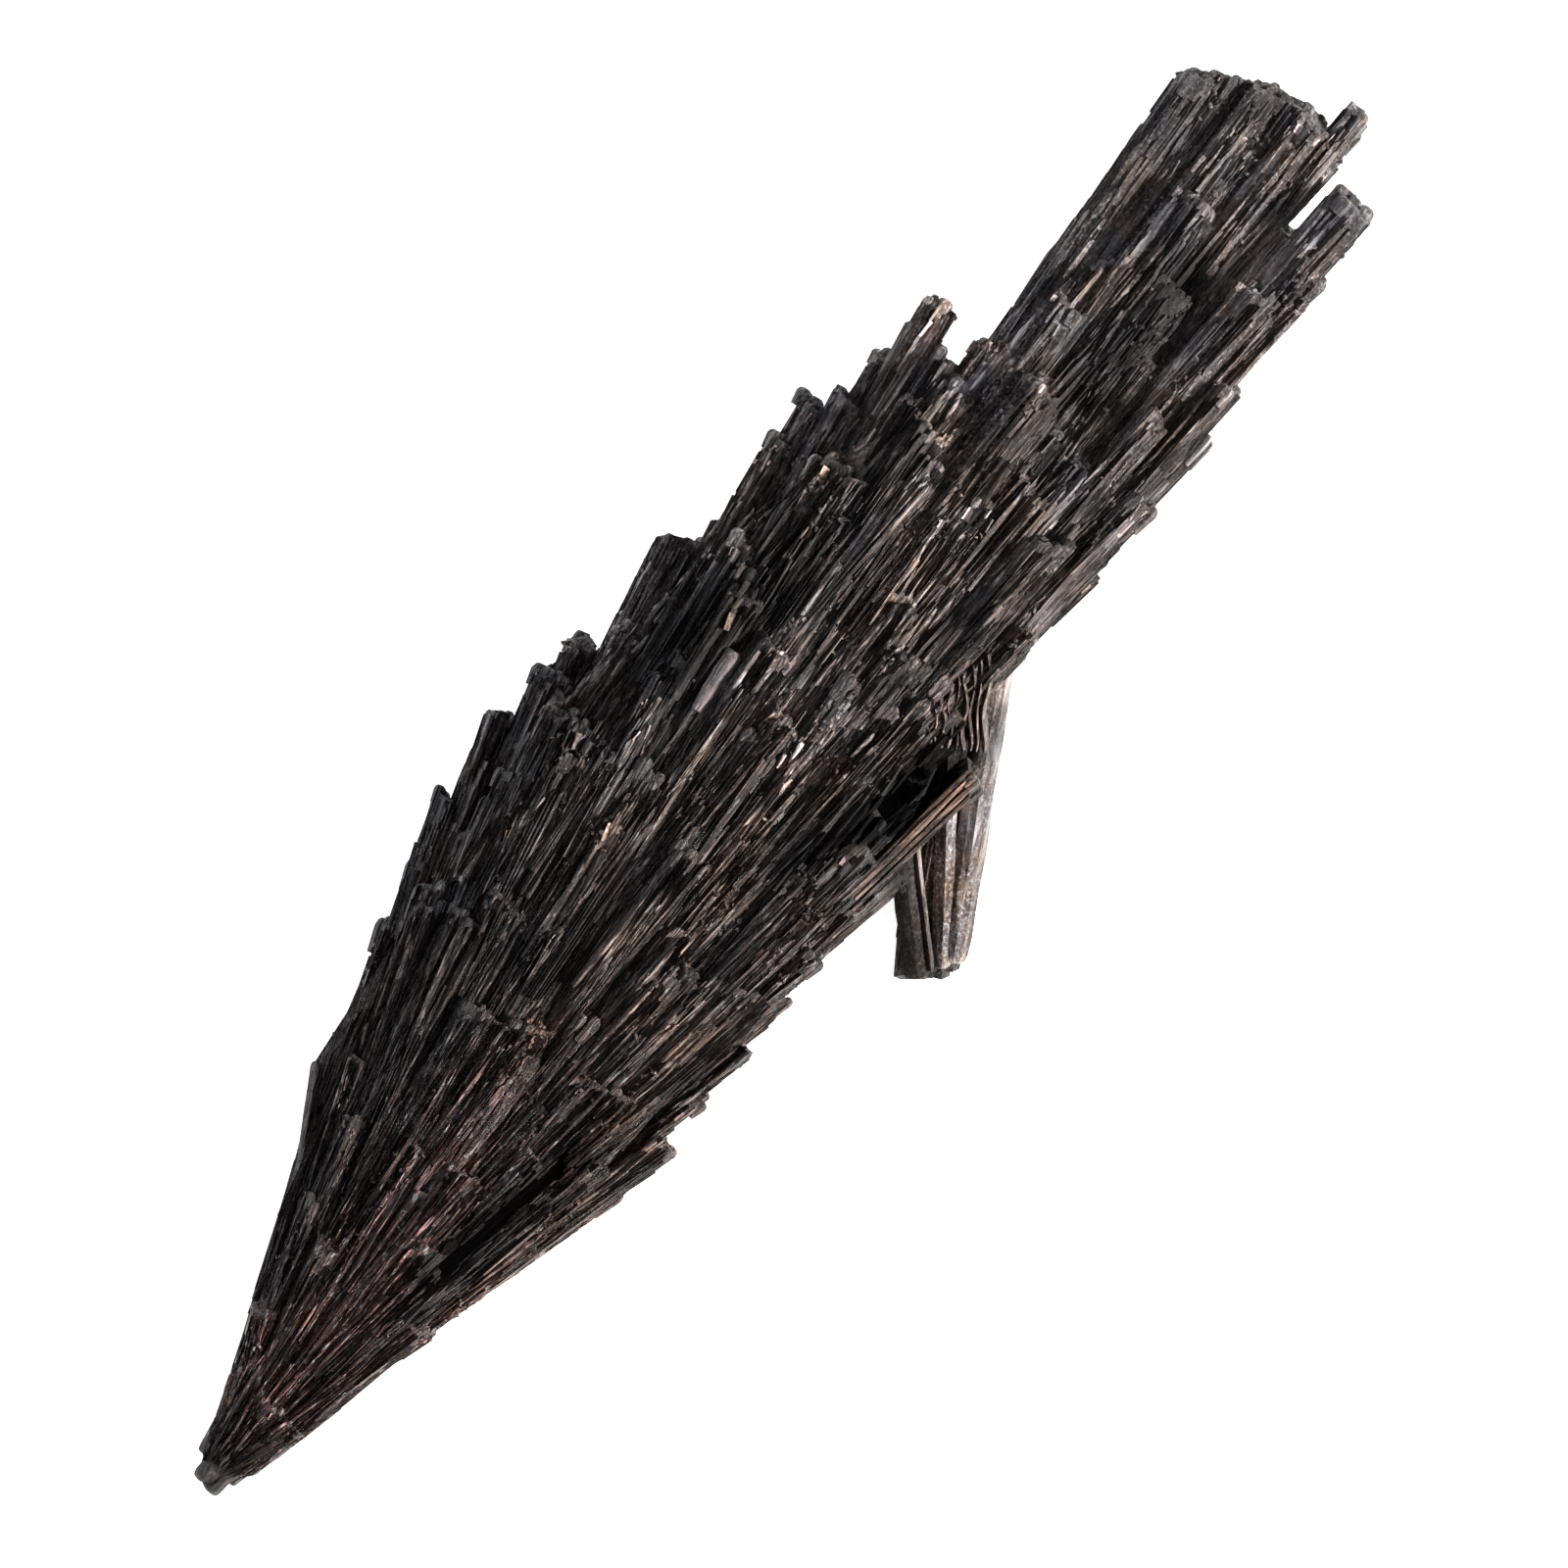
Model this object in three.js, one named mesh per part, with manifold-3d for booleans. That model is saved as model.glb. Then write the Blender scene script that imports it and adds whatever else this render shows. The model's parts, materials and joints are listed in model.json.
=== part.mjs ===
// A fan of black tourmaline: one spray of flat, striated crystals that spread from a narrow root,
// with a second small spray grown across its underside. It is a single piece of stone, lying down.
//
// Millimetres, +Z up. +X runs from the root to the longest crystals and +Y to the wide side of the
// fan. The piece is laid out from its root, and moved at the end so that the origin is under its
// middle, on the surface that it lies on.

import * as THREE from "three";
import { mergeVertices } from "three/addons/utils/BufferGeometryUtils.js";
import Module from "manifold-3d";

const { clamp, degToRad, lerp, radToDeg, seededRandom } = THREE.MathUtils;

// Look of the stone.
const STONE = { color: 0x24211f, roughness: 0.55, metalness: 0.1 };

// The solid heart of the fan, where the crystals are grown together, as stations along it:
// [distance from the root, right side, left side, underside, top].
const HEART = [
  [-0.9, -0.7, 0.6, 2.0, 3.4],
  [1.5, -1.8, 1.6, 1.6, 4.2],
  [6.0, -2.8, 3.2, 1.2, 5.0],
  [12.0, -3.8, 5.2, 0.8, 5.9],
  [20.0, -5.3, 8.6, 0.5, 6.9],
  [30.0, -6.3, 11.2, 0.4, 7.9],
  [40.0, -6.3, 12.0, 0.5, 8.7],
  [47.0, -6.2, 11.5, 0.6, 8.9],
  [52.0, -4.9, 10.9, 0.8, 8.9],
  [58.0, -4.2, 10.0, 1.0, 8.5],
  [66.0, -4.2, 7.4, 1.5, 7.5],
  [74.0, -3.6, 5.2, 2.4, 6.3],
  [80.0, -2.0, 4.6, 3.5, 5.0],
];
const HEART_SIDES = 18;
const HEART_SQUARENESS = 0.9; // 1 is an ellipse, less is a fuller section
const HEART_FLUTES = [0.86, 1.02]; // how far each edge of the section stands out, as a share

// Crystals run in straight lines from a root of this half width and height.
const ROOT_HALF_WIDTH = 0.5;
const ROOT_HEIGHT = 2.8;

// Crystals whose ends make the outline: [x, y, z of the end, width, thickness].
const LEFT_EDGE = [
  [17.6, 7.7, 3.0, 1.1, 1.6],
  [21.2, 9.3, 3.2, 1.2, 1.8],
  [24.8, 9.9, 2.8, 1.4, 2.0],
  [28.0, 11.1, 3.2, 1.7, 2.4],
  [30.9, 12.0, 2.8, 1.6, 2.2],
  [34.2, 12.8, 3.3, 1.7, 2.6],
  [37.0, 12.7, 3.6, 1.6, 2.2],
  [39.1, 13.7, 3.1, 1.5, 2.2],
  [43.0, 13.0, 3.6, 2.2, 2.6],
  [44.9, 12.9, 3.2, 1.3, 1.8],
  [47.0, 11.6, 3.9, 1.9, 2.6],
  [52.3, 12.1, 3.6, 3.2, 2.2],
  [58.9, 11.4, 4.3, 1.6, 1.8],
  [62.0, 11.6, 4.0, 1.8, 1.9],
  [63.2, 10.2, 4.7, 2.4, 2.3],
  [65.9, 10.4, 4.1, 1.2, 1.5],
  [69.4, 10.0, 4.6, 1.7, 1.6],
  [67.8, 7.8, 5.2, 1.6, 1.8],
  [70.0, 6.1, 4.8, 2.4, 2.6],
];
const LONG_CRYSTALS = [
  [87.3, 7.2, 4.4, 2.2, 2.6],
  [88.1, 5.7, 4.0, 2.4, 2.4],
  [89.1, 4.1, 4.8, 2.0, 2.2],
  [89.0, 2.6, 4.2, 2.1, 2.0],
  [89.4, 1.2, 4.9, 1.8, 2.2],
  [91.0, -0.2, 4.3, 1.6, 1.6],
  [84.0, -0.9, 3.8, 2.2, 2.2],
  [87.2, -3.1, 5.3, 2.8, 3.0],
];
const RIGHT_EDGE = [
  [83.0, -3.8, 4.9, 1.6, 2.0],
  [75.9, -4.0, 5.8, 1.6, 2.4],
  [73.0, -4.5, 4.9, 1.6, 2.2],
  [68.3, -4.4, 6.1, 1.5, 2.4],
  [65.0, -4.3, 5.0, 1.6, 2.2],
  [59.6, -4.1, 6.3, 1.7, 2.2],
  [52.6, -6.8, 6.1, 1.6, 1.4],
  [46.6, -6.9, 4.4, 2.3, 2.0],
  [43.4, -6.4, 4.9, 1.8, 1.9],
  [39.8, -6.5, 5.4, 1.4, 2.0],
  [37.5, -6.4, 3.9, 1.7, 2.4],
  [34.2, -6.7, 5.0, 1.3, 1.6],
  [30.9, -6.4, 4.1, 1.7, 2.4],
  [27.6, -7.0, 4.6, 1.4, 1.8],
  [24.4, -6.3, 3.6, 1.7, 2.4],
  [20.0, -5.3, 4.2, 1.3, 1.8],
  [13.2, -3.8, 3.6, 1.1, 1.6],
];
const EDGE_COMPANION = { shorter: [2, 6], inward: 0.9, raised: 0.45, size: 0.85 };

// Crystals that stand out on the top, layer on layer.
const TOP_CRYSTALS = [
  [26.8, 1.4, 7.9, 2.0, 1.5],
  [27.4, 3.6, 7.6, 2.0, 1.5],
  [28.6, 9.3, 5.2, 1.8, 1.6],
  [33.4, 10.8, 4.9, 1.8, 1.6],
  [37.2, 10.8, 5.8, 2.2, 1.6],
  [39.4, 9.2, 6.9, 2.0, 1.8],
  [42.6, 11.0, 5.2, 1.9, 1.6],
  [46.0, 8.2, 7.6, 2.4, 1.6],
  [48.7, 6.1, 8.4, 1.8, 1.6],
  [49.6, 10.1, 5.3, 2.1, 1.6],
  [54.8, 8.8, 6.4, 2.4, 1.8],
  [57.4, 6.6, 7.4, 2.0, 1.6],
  [59.6, 9.2, 5.6, 1.9, 1.6],
  [65.0, 7.0, 6.2, 2.1, 1.6],
  [69.6, 2.9, 7.8, 2.4, 1.6],
  [74.0, 4.8, 6.4, 1.9, 1.4],
  [77.9, 1.2, 6.4, 2.2, 1.4],
  [82.0, 3.2, 5.9, 2.4, 1.6],
  [80.9, -2.2, 6.6, 1.8, 1.4],
  [63.9, -2.2, 8.2, 1.8, 1.6],
];

// Pits in the top: [x, y of one end, x, y of the other, width, depth].
const PITS = [
  [47.4, -4.5, 53.0, -5.0, 1.9, 3.2],
  [43.0, -3.2, 47.4, -3.5, 1.1, 1.9],
  [15.0, -2.2, 24.6, -3.5, 1.1, 1.5],
];

// The small spray across the underside: [x, y, z of the free end, x, y, z of the grown-in end,
// width, thickness].
const CROSS_SPRAY = [
  [43.4, -12.2, 1.3, 60.6, -1.9, 4.6, 1.6, 1.5],
  [42.7, -11.9, 0.9, 58.8, -1.9, 3.8, 1.9, 1.3],
  [41.8, -11.3, 1.1, 56.8, -0.6, 3.4, 2.1, 1.8],
  [45.0, -9.6, 1.4, 57.5, -2.6, 4.2, 1.4, 2.0],
];

// Crystals that the stone lies on, level along their length: [x, y of the end, width, thickness].
const RESTING = [
  [47.0, 8.6, 2.6, 2.2],
  [37.0, -4.4, 2.4, 2.0],
  [79.0, 1.4, 2.8, 3.2],
  [56.0, 3.0, 4.0, 2.4],
];
const WORN_AWAY = 0.5; // how much of them is worn flat

// Rows of crystals on the top and the underside: [how far out they end, how many, thickness].
const TOP_ROWS = [
  [8, 3, 1.1],
  [15, 5, 1.3],
  [21, 6, 1.4],
  [27, 7, 1.4],
  [33, 8, 1.5],
  [39, 9, 1.6],
  [45, 9, 1.6],
  [51, 9, 1.6],
  [57, 8, 1.6],
  [63, 7, 1.5],
  [69, 5, 1.4],
  [75, 4, 1.2],
];
const UNDER_ROWS = [
  [20, 6, 1.2],
  [32, 7, 1.3],
  [44, 8, 1.4],
  [56, 8, 1.4],
  [68, 5, 1.3],
];
const ROW_STAGGER = 7;
const ROW_WIDTH = [1.3, 3.0];
const ROW_RISE = [0.4, 1.1]; // how far an end stands out of the heart
const ROW_ARC = [20, 160]; // degrees around the heart that a row spreads over

const SEED = 12;

const wasm = await Module();
wasm.setup();

// A random number between two values, the same in every build.
function between(low, high) {
  return lerp(low, high, seededRandom());
}

// A three.js geometry as a manifold-3d solid.
function solid(geometry) {
  geometry.deleteAttribute("normal");
  geometry.deleteAttribute("uv");
  const merged = mergeVertices(geometry, 1e-4);
  return new wasm.Manifold(
    new wasm.Mesh({
      numProp: 3,
      vertProperties: merged.attributes.position.array,
      triVerts: new Uint32Array(merged.index.array),
    }),
  );
}

// A manifold-3d solid as a three.js geometry with flat faces.
function geometryOf(made) {
  const mesh = made.getMesh();
  const geometry = new THREE.BufferGeometry()
    .setAttribute("position", new THREE.BufferAttribute(mesh.vertProperties, 3))
    .setIndex(new THREE.BufferAttribute(mesh.triVerts, 1))
    .toNonIndexed();
  geometry.computeVertexNormals();
  return geometry;
}

// Moves each vertex of a geometry to place(vertex).
function reshape(geometry, place) {
  const position = geometry.attributes.position;
  const vertex = new THREE.Vector3();
  for (let i = 0; i < position.count; i++) {
    const moved = place(vertex.fromBufferAttribute(position, i));
    position.setXYZ(i, moved.x, moved.y, moved.z);
  }
  return geometry;
}

// The heart's section at a distance from the root.
function heartAt(x) {
  const after = HEART.findIndex(([at]) => at > x);
  const last = after < 0 ? HEART.length - 1 : Math.max(after, 1);
  const [a, b] = [HEART[last - 1], HEART[last]];
  const share = clamp((x - a[0]) / (b[0] - a[0]), 0, 1);
  const [, right, left, under, top] = a.map((value, i) => lerp(value, b[i], share));
  return { right, left, under, top };
}

// A sine or cosine made fuller, so that an ellipse becomes the heart's squarer section.
function fuller(value) {
  return Math.sign(value) * Math.abs(value) ** HEART_SQUARENESS;
}

// The place on the heart's surface at a distance from the root and a turn in radians, from its
// right side over the top, and the way out of the heart there.
function onHeart(x, turn) {
  const { right, left, under, top } = heartAt(x);
  const y = (right + left - fuller(Math.cos(turn)) * (left - right)) / 2;
  const z = (under + top + fuller(Math.sin(turn)) * (top - under)) / 2;
  const out = new THREE.Vector3(0, -Math.cos(turn) * (top - under), Math.sin(turn) * (left - right));
  return { place: new THREE.Vector3(x, y, z), out: out.normalize() };
}

// Height of the heart's top over a place.
function heartTop(x, y) {
  const { right, left } = heartAt(x);
  const across = clamp((right + left - 2 * y) / (left - right), -1, 1);
  const cosine = Math.sign(across) * Math.abs(across) ** (1 / HEART_SQUARENESS);
  return onHeart(x, Math.acos(cosine)).place.z;
}

// The heart: rings of a rounded, fluted section, from the root to where the crystals run free.
function heart() {
  const rings = HEART.length - 1;
  const flutes = Array.from({ length: HEART_SIDES }, () => between(...HEART_FLUTES));
  const geometry = new THREE.CylinderGeometry(1, 1, 1, HEART_SIDES, rings);
  return solid(
    reshape(geometry, ({ x: c, y: height, z: s }) => {
      const [x, right, left, under, top] = HEART[Math.round((height + 0.5) * rings)];
      const turn = Math.atan2(s, c);
      const side = Math.round((turn / (2 * Math.PI) + 1) * HEART_SIDES) % HEART_SIDES;
      const size = Math.hypot(c, s) * flutes[side];
      const centre = new THREE.Vector3(x, (right + left) / 2, (under + top) / 2);
      return centre.lerp(onHeart(x, turn).place, size);
    }),
  );
}

// One crystal: a flattened six-sided prism from start to end, narrower at its start, turned
// about its length by roll degrees and broken off at a slant.
function crystal(start, end, { width, thick, taper = 0.7, roll = 0 }) {
  const along = end.clone().sub(start);
  const length = along.length();
  along.normalize();
  const side = along.clone().cross(new THREE.Vector3(0, 0, 1)).normalize();
  side.applyAxisAngle(along, degToRad(roll));
  const up = side.clone().cross(along).normalize();
  const slant = between(-0.45, 0.45);
  const dip = between(-0.5, 0.5);
  const furthest = (Math.abs(slant) * width + Math.abs(dip) * thick) / 2;
  const edges = Array.from({ length: 6 }, () => between(0.85, 1.1));
  const geometry = new THREE.CylinderGeometry(1, 1, 1, 6, 1, false, Math.PI / 6);
  return solid(
    reshape(geometry, ({ x, y, z }) => {
      const edge = Math.round((Math.atan2(z, x) / Math.PI) * 3 + 6) % 6;
      const size = edges[edge] * (y > 0 ? 0.5 : 0.5 * taper);
      const across = x * size * width;
      const above = z * size * thick;
      const reach = y > 0 ? length + slant * across + dip * above - furthest : 0;
      return start
        .clone()
        .addScaledVector(along, reach)
        .addScaledVector(side, across)
        .addScaledVector(up, above);
    }),
  );
}

// A crystal of the fan, which ends at a given place and starts at a share of the way to it.
function fanCrystal([x, y, z, width, thick], from, roll) {
  const end = new THREE.Vector3(x, y, z);
  const rootY = clamp(y / 8, -1, 1) * ROOT_HALF_WIDTH;
  const start = new THREE.Vector3(0, rootY, ROOT_HEIGHT).lerp(end, from);
  return crystal(start, end, { width, thick, roll, taper: lerp(0.5, 0.9, from) });
}

// A crystal of the outline, with a shorter one grown on it on the side towards the middle.
function edgePair(edge) {
  const [x, y, z, width, thick] = edge;
  const { shorter, inward, raised, size } = EDGE_COMPANION;
  const reach = 1 - between(...shorter) / x;
  const inner = y * reach - Math.sign(y) * width * inward;
  const companion = [x * reach, inner, z + thick * raised, width * size, thick * size];
  const from = between(0.35, 0.5);
  return [
    fanCrystal(edge, from, between(-12, 12)),
    fanCrystal(companion, from, between(-12, 12)),
  ];
}

// A row of crystals side by side around the top of the heart (side 1) or its underside (side -1),
// sunk in it at their start and standing a little out of it at their end.
function row([reach, count, thick], side) {
  return Array.from({ length: count }, (_, i) => {
    const x = reach + between(-0.5, 0.5) * ROW_STAGGER;
    const turn = side * degToRad(lerp(...ROW_ARC, (i + between(0.2, 0.8)) / count));
    const { place, out } = onHeart(x, turn);
    const end = place.addScaledVector(out, between(...ROW_RISE) - thick / 2);
    const start = onHeart(x * between(0.35, 0.7), turn).place.addScaledVector(out, -0.6 * thick);
    return crystal(start, end, {
      width: between(...ROW_WIDTH),
      thick,
      roll: radToDeg(Math.atan2(-out.y, out.z)) + between(-8, 8),
    });
  });
}

// A crystal that the stone lies on.
function restingCrystal([x, y, width, thick]) {
  const end = new THREE.Vector3(x, y, thick / 2 - WORN_AWAY);
  const start = new THREE.Vector3(x * 0.5, y * 0.5, end.z);
  return crystal(start, end, { width, thick });
}

// A pit, as the crystal that is missing there.
function pit([fromX, fromY, toX, toY, width, depth]) {
  const start = new THREE.Vector3(fromX, fromY, heartTop(fromX, fromY));
  const end = new THREE.Vector3(toX, toY, heartTop(toX, toY));
  return crystal(start, end, { width, thick: 2 * depth });
}

// A crystal of the small spray across the underside.
function crossCrystal([x, y, z, inX, inY, inZ, width, thick]) {
  const end = new THREE.Vector3(x, y, z);
  const grownIn = new THREE.Vector3(inX, inY, inZ);
  return crystal(grownIn, end, { width, thick, taper: 1 });
}

// The stone as one solid: everything grown together, and worn flat where it lies.
function stone() {
  seededRandom(SEED);
  const grown = [
    heart(),
    ...[...LEFT_EDGE, ...RIGHT_EDGE].flatMap(edgePair),
    ...LONG_CRYSTALS.map((edge) => fanCrystal(edge, between(0.5, 0.62), between(-10, 10))),
    ...TOP_CRYSTALS.map((edge) => fanCrystal(edge, between(0.5, 0.65), between(-10, 10))),
    ...TOP_ROWS.flatMap((crystals) => row(crystals, 1)),
    ...UNDER_ROWS.flatMap((crystals) => row(crystals, -1)),
    ...RESTING.map(restingCrystal),
    ...CROSS_SPRAY.map(crossCrystal),
  ];
  const below = new THREE.BoxGeometry(300, 100, 20).translate(0, 0, -10);
  const missing = wasm.Manifold.union([solid(below), ...PITS.map(pit)]);
  const joined = wasm.Manifold.union(grown).subtract(missing);
  return joined.decompose().reduce((a, b) => (a.volume() > b.volume() ? a : b));
}

const geometry = geometryOf(stone());
geometry.computeBoundingBox();
const middle = geometry.boundingBox.getCenter(new THREE.Vector3());

const fan = new THREE.Mesh(geometry, new THREE.MeshStandardMaterial(STONE));
fan.name = "crystal_fan";
fan.position.set(-middle.x, -middle.y, 0);

const part = new THREE.Group();
part.add(fan);
export default part;
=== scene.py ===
import json
import math
import random
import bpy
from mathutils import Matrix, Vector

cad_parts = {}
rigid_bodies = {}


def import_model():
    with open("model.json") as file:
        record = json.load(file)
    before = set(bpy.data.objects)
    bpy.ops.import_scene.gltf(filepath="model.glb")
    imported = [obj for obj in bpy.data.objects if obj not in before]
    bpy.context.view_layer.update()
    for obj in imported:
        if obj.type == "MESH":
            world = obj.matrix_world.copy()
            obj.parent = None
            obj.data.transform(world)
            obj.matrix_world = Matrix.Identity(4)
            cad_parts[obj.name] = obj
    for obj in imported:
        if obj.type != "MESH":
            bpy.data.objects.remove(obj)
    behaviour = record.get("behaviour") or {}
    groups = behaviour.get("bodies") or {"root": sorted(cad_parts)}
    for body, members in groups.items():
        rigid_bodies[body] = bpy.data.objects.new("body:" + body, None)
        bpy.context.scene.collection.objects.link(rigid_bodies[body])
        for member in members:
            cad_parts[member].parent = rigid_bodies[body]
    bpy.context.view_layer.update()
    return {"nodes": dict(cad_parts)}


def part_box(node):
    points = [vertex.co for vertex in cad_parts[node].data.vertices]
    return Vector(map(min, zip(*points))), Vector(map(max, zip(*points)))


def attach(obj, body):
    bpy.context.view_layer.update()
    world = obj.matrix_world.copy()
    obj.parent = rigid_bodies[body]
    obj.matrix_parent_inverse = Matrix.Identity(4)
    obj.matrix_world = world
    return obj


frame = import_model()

from types import SimpleNamespace

import bmesh
import bpy
from mathutils import Matrix, Vector

MM = 0.001

# ------------------------------------
# Camera, floor and light. The fan lies on a white table and is seen from straight above, with
# its long side rising to the upper right. The light comes from the right, with a cool fill.

VIEW_WIDTH = 80 * MM            # width of the table that the camera sees
VIEW_DISTANCE = 620 * MM
VIEW_CENTRE = (0.46 * MM, -0.53 * MM, 4.5 * MM)
FAN_SLANT = 50                  # degrees from the view's level to the fan's long side
SENSOR = 36                     # camera sensor width in millimetres


def add_object(name, data):
    """A new object in the scene."""
    made = bpy.data.objects.new(name, data)
    bpy.context.scene.collection.objects.link(made)
    return made


def soft_light(name, azimuth, elevation, distance, size, watts, colour):
    """A square soft light that points at the middle of the fan."""
    data = bpy.data.lights.new(name, "AREA")
    data.size = size
    data.energy = watts
    data.color = colour
    light = add_object(name, data)
    turn = math.radians(azimuth)
    rise = math.radians(elevation)
    flat = distance * math.cos(rise)
    light.location = (flat * math.cos(turn), flat * math.sin(turn), distance * math.sin(rise))
    light.rotation_euler = (-light.location).to_track_quat("-Z", "Y").to_euler()


camera_data = bpy.data.cameras.new("camera")
camera_data.sensor_width = SENSOR
camera_data.lens = SENSOR * (VIEW_DISTANCE - VIEW_CENTRE[2]) / VIEW_WIDTH
camera = add_object("camera", camera_data)
camera.location = (VIEW_CENTRE[0], VIEW_CENTRE[1], VIEW_DISTANCE)
camera.rotation_euler = (0, 0, -math.radians(FAN_SLANT))
bpy.context.scene.camera = camera

LIGHTS = [  # name, azimuth, elevation, distance, size, watts, colour; the view's right is at -50
    ("key", -66, 32, 0.55, 0.12, 13.0, (1.0, 0.975, 0.94)),
    ("overhead", -20, 75, 0.7, 0.4, 1.2, (1.0, 0.99, 0.97)),
    ("cool_fill", 125, 24, 0.7, 0.3, 5.0, (0.82, 0.88, 1.0)),
]
WORLD_LIGHT = 0.03

for light_settings in LIGHTS:
    soft_light(*light_settings)

world = bpy.data.worlds.new("studio")
world.use_nodes = True
background = world.node_tree.nodes["Background"]
background.inputs["Color"].default_value = (1, 1, 1, 1)
background.inputs["Strength"].default_value = WORLD_LIGHT
bpy.context.scene.world = world
bpy.context.scene.view_settings.view_transform = "Standard"

FLOOR_HALF = 1.5                # metres from its middle to its edges
FLOOR_WHITE = 0.9

floor_corners = [(x * FLOOR_HALF, y * FLOOR_HALF, 0) for x, y in ((-1, -1), (1, -1), (1, 1), (-1, 1))]
floor_mesh = bpy.data.meshes.new("floor")
floor_mesh.from_pydata(floor_corners, [], [(0, 1, 2, 3)])
floor = add_object("floor", floor_mesh)
floor_finish = bpy.data.materials.new("white_table")
floor_finish.use_nodes = True
floor_shader = floor_finish.node_tree.nodes["Principled BSDF"]
floor_shader.inputs["Base Color"].default_value = (FLOOR_WHITE, FLOOR_WHITE, FLOOR_WHITE, 1)
floor_shader.inputs["Roughness"].default_value = 0.9
floor_shader.inputs["Emission Color"].default_value = (1, 1, 1, 1)
floor_shader.inputs["Emission Strength"].default_value = FLOOR_WHITE
floor_mesh.materials.append(floor_finish)

# ------------------------------------
# The stone itself: black tourmaline, grown as one spray of crystals from a narrow root. It is
# near-black to grey-brown, finely striated along each crystal, and granular where it broke.

fan_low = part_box("crystal_fan")[0]
ROOT = Vector((fan_low[0] + 0.9 * MM, -0.81 * MM, 2.8 * MM))    # the zero of the fan's frame
APEX = ROOT + Vector((-1.5, 0, 0)) * MM                         # where the lines of the fan meet
SPRAY_APEX = ROOT + Vector((108, 27, 11)) * MM                  # where those of the small spray meet
MIDDLE = 45.0       # a place's turn round an apex is measured in millimetres this far out from it


def add_node(tree, kind, inputs=None, **settings):
    """A node with its settings, whose inputs are given as values or as other nodes' outputs."""
    node = tree.nodes.new(kind)
    for name, value in settings.items():
        setattr(node, name, value)
    for name, value in (inputs or {}).items():
        if isinstance(value, bpy.types.NodeSocket):
            tree.links.new(value, node.inputs[name])
        else:
            node.inputs[name].default_value = value
    return node


def maths(tree, operation, *values):
    """The output of a Math node."""
    inputs = dict(enumerate(values))
    return add_node(tree, "ShaderNodeMath", inputs, operation=operation).outputs[0]


def times(tree, first, second):
    """The product of two numbers."""
    return maths(tree, "MULTIPLY", first, second)


def vectors(tree, operation, *values):
    """The output of a Vector Math node that has a vector for a result."""
    inputs = dict(enumerate(values))
    return add_node(tree, "ShaderNodeVectorMath", inputs, operation=operation).outputs[0]


def dot(tree, first, second):
    """The dot product of two vectors."""
    node = add_node(tree, "ShaderNodeVectorMath", {0: first, 1: second}, operation="DOT_PRODUCT")
    return node.outputs["Value"]


def distance(tree, first, second):
    """The distance between two places."""
    node = add_node(tree, "ShaderNodeVectorMath", {0: first, 1: second}, operation="DISTANCE")
    return node.outputs["Value"]


def scaled(tree, vector, amount):
    """A vector times a number."""
    inputs = {0: vector, "Scale": amount}
    return add_node(tree, "ShaderNodeVectorMath", inputs, operation="SCALE").outputs[0]


def split(tree, vector):
    """The x, y and z of a vector."""
    return add_node(tree, "ShaderNodeSeparateXYZ", {0: vector}).outputs


def joined(tree, x, y, z):
    """A vector made of three values."""
    return add_node(tree, "ShaderNodeCombineXYZ", {0: x, 1: y, 2: z}).outputs[0]


def mapped(tree, value, low, high, new_low=0.0, new_high=1.0):
    """A value mapped from one range to another and kept inside it."""
    return add_node(tree, "ShaderNodeMapRange", {
        "Value": value, "From Min": low, "From Max": high, "To Min": new_low, "To Max": new_high,
    }).outputs["Result"]


def total(tree, *parts):
    """The sum of (value, weight) parts."""
    weighted = [times(tree, value, weight) for value, weight in parts]
    result = weighted[0]
    for part in weighted[1:]:
        result = maths(tree, "ADD", result, part)
    return result


def noise(tree, coordinates, scale, detail, roughness=0.6):
    """Smooth noise between 0 and 1."""
    inputs = {"Vector": coordinates, "Scale": scale, "Detail": detail, "Roughness": roughness}
    return add_node(tree, "ShaderNodeTexNoise", inputs).outputs["Fac"]


def ramp(tree, factor, stops):
    """The colour of a ramp, from (position, (r, g, b)) stops in order."""
    node = add_node(tree, "ShaderNodeValToRGB", {"Fac": factor})
    elements = node.color_ramp.elements
    for element, (position, colour) in zip(elements, (stops[0], stops[-1])):
        element.position = position
        element.color = (*colour, 1)
    for position, colour in stops[1:-1]:
        elements.new(position).color = (*colour, 1)
    return node.outputs["Color"]


def blend(tree, factor, first, second, way="MIX"):
    """The result of a colour Mix node."""
    node = add_node(tree, "ShaderNodeMix", {"Factor": factor}, data_type="RGBA", blend_type=way)
    for name, value in (("A", first), ("B", second)):
        socket = [entry for entry in node.inputs if entry.name == name and entry.type == "RGBA"][0]
        if isinstance(value, bpy.types.NodeSocket):
            tree.links.new(value, socket)
        else:
            socket.default_value = (*value, 1)
    return [entry for entry in node.outputs if entry.type == "RGBA"][0]


def fan_lines(tree, position, apex):
    """Where a place lies in millimetres: out from an apex, round it, and up."""
    x, y, z = split(tree, vectors(tree, "SUBTRACT", position, apex))
    squares = [(maths(tree, "POWER", value, 2.0), 1.0) for value in (x, y)]
    out = maths(tree, "POWER", total(tree, *squares), 0.5)
    turn = maths(tree, "ARCTAN2", y, x)
    sizes = ((out, 1 / MM), (turn, MIDDLE), (z, 1 / MM))
    return [times(tree, value, size) for value, size in sizes]


# A pattern that runs along the fan's lines: how much longer than wide it is, as 1 / stretch, and
# how many of it go to a millimetre across.
LONG_RIDGES = (0.2, 0.42)
WIDE_CRYSTALS = (0.035, 1.2)
FINE_CRYSTALS = (0.05, 3.8)
HAIRS = (0.05, 7.0)
RIDGE_EDGES = (0.42, 0.60)  # the noise in a valley and on a crest


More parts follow.
